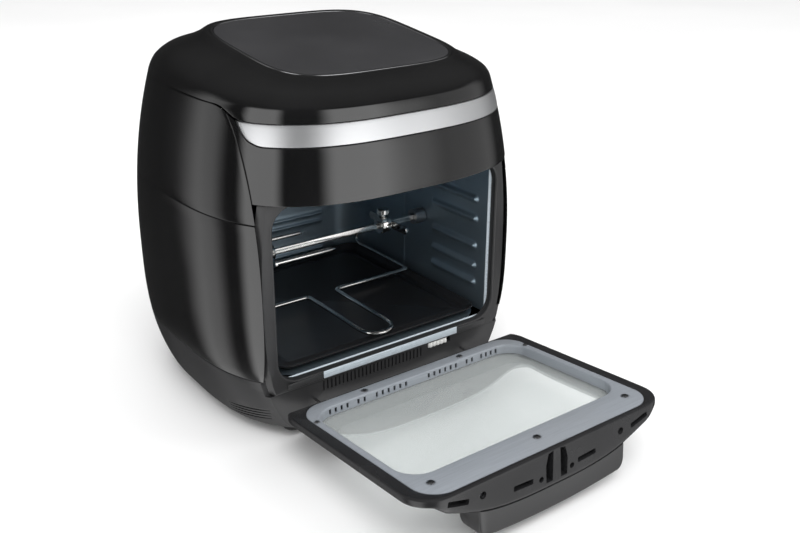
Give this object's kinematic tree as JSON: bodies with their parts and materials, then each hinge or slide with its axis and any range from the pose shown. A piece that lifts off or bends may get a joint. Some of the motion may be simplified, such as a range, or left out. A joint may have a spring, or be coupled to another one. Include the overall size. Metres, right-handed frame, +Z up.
{
  "type": "air fryer oven",
  "caption": "Counter-top air fryer oven with a drop-down glass door, rotisserie spit, drip tray, lift tool and a touch panel on top.",
  "frame": {"origin": "middle of the bounding box on the table surface, door open", "axes": "+Z up, -Y out of the door opening, +X to the right for someone looking in through the door"},
  "size_m": [0.32, 0.4952, 0.3378],
  "materials": {
    "gloss_black": "gloss",
    "matte_black": "matte",
    "satin_grey": "satin",
    "touch_glass": "gloss",
    "brushed_silver": "brushed",
    "door_sheet": "satin",
    "cavity_steel": "satin",
    "chrome": "polished",
    "clear_glass": "gloss",
    "non_stick": "satin",
    "heater_steel": "matte",
    "steel": "satin",
    "circuit_board": "satin",
    "rubber": "matte",
    "white_plastic": "satin"
  },
  "bodies": {
    "housing": {"lower_shell": "gloss_black", "upper_shell": "gloss_black", "front_fascia": "gloss_black", "top_cover": "gloss_black", "base_pan": "matte_black", "rear_vent_cover": "matte_black", "opening_bezel": "satin_grey", "control_glass": "touch_glass", "silver_band": "brushed_silver", "cavity_liner": "cavity_steel", "floor_strip": "cavity_steel", "rack_runner_left": "cavity_steel", "rack_runner_right": "cavity_steel", "panel_trim_ring": "chrome", "heater_element": "heater_steel", "heater_guard": "steel", "air_shroud": "steel", "fan_motor": "steel", "thermal_sensor": "steel", "rotisserie_motor": "steel", "spit_bearing": "steel", "hinge_bracket_left": "steel", "hinge_bracket_right": "steel", "control_board": "circuit_board", "power_board": "circuit_board", "foot_front_left": "rubber", "foot_front_right": "rubber", "foot_rear_left": "rubber", "foot_rear_right": "rubber", "cord_gland": "rubber", "door_switch": "white_plastic"},
    "door": {"door_frame": "gloss_black", "inner_panel": "door_sheet", "inner_glass": "clear_glass", "glass_seal": "rubber", "outer_glass": "clear_glass", "door_handle": "satin_grey", "hinge_pin_left": "steel", "hinge_pin_right": "steel", "panel_screw_front_left": "steel", "panel_screw_front_middle": "steel", "panel_screw_front_right": "steel", "panel_screw_side_left": "steel", "panel_screw_side_right": "steel", "panel_screw_hinge_left": "steel", "panel_screw_hinge_right": "steel"},
    "fan": {"convection_fan": "steel", "cooling_fan": "white_plastic", "fan_shaft": "steel"},
    "drive": {"drive_coupler": "steel"},
    "spit": {"spit_rod": "chrome", "spit_fork_left": "chrome", "spit_fork_right": "chrome", "fork_screw_left": "chrome", "fork_screw_right": "chrome"},
    "tray": {"drip_tray": "non_stick"},
    "tool": {"lift_tool": "chrome"},
    "release": {"release_thumb": "white_plastic"},
    "latch": {"latch_hooks": "white_plastic"}
  },
  "joints": [
    {"name": "door_hinge", "type": "hinge", "parent": "housing", "child": "door", "pos_m": [0, -0.05191, 0.0255], "axis": [-1, 0, 0], "range_deg": [0, 85]},
    {"name": "fan_spin", "type": "hinge", "parent": "housing", "child": "fan", "pos_m": [0, 0.09059, 0.25], "axis": [0, 0, 1], "continuous": true},
    {"name": "drive_spin", "type": "hinge", "parent": "housing", "child": "drive", "pos_m": [0.112, 0.07759, 0.132], "axis": [1, 0, 0], "continuous": true},
    {"name": "spit_spin", "type": "hinge", "parent": "housing", "child": "spit", "pos_m": [0, 0.07759, 0.132], "axis": [1, 0, 0], "continuous": true},
    {"name": "tray_slide", "type": "slide", "parent": "housing", "child": "tray", "axis": [0, 1, 0], "range_m": [-0.15, 0]},
    {"name": "tool_draw", "type": "slide", "parent": "tray", "child": "tool", "axis": [0, 0.9578, -0.2873], "range_m": [-0.2, 0]},
    {"name": "release_push", "type": "slide", "parent": "housing", "child": "release", "axis": [1, 0, 0], "range_m": [0, 0.004], "stiffness_N_per_m": 150},
    {"name": "latch_lift", "type": "slide", "parent": "housing", "child": "latch", "axis": [0, 0, 1], "range_m": [0, 0.004], "stiffness_N_per_m": 300}
  ],
  "couplings": [
    {"joint": "spit_spin", "follows": "drive_spin", "ratio": 1}
  ]
}
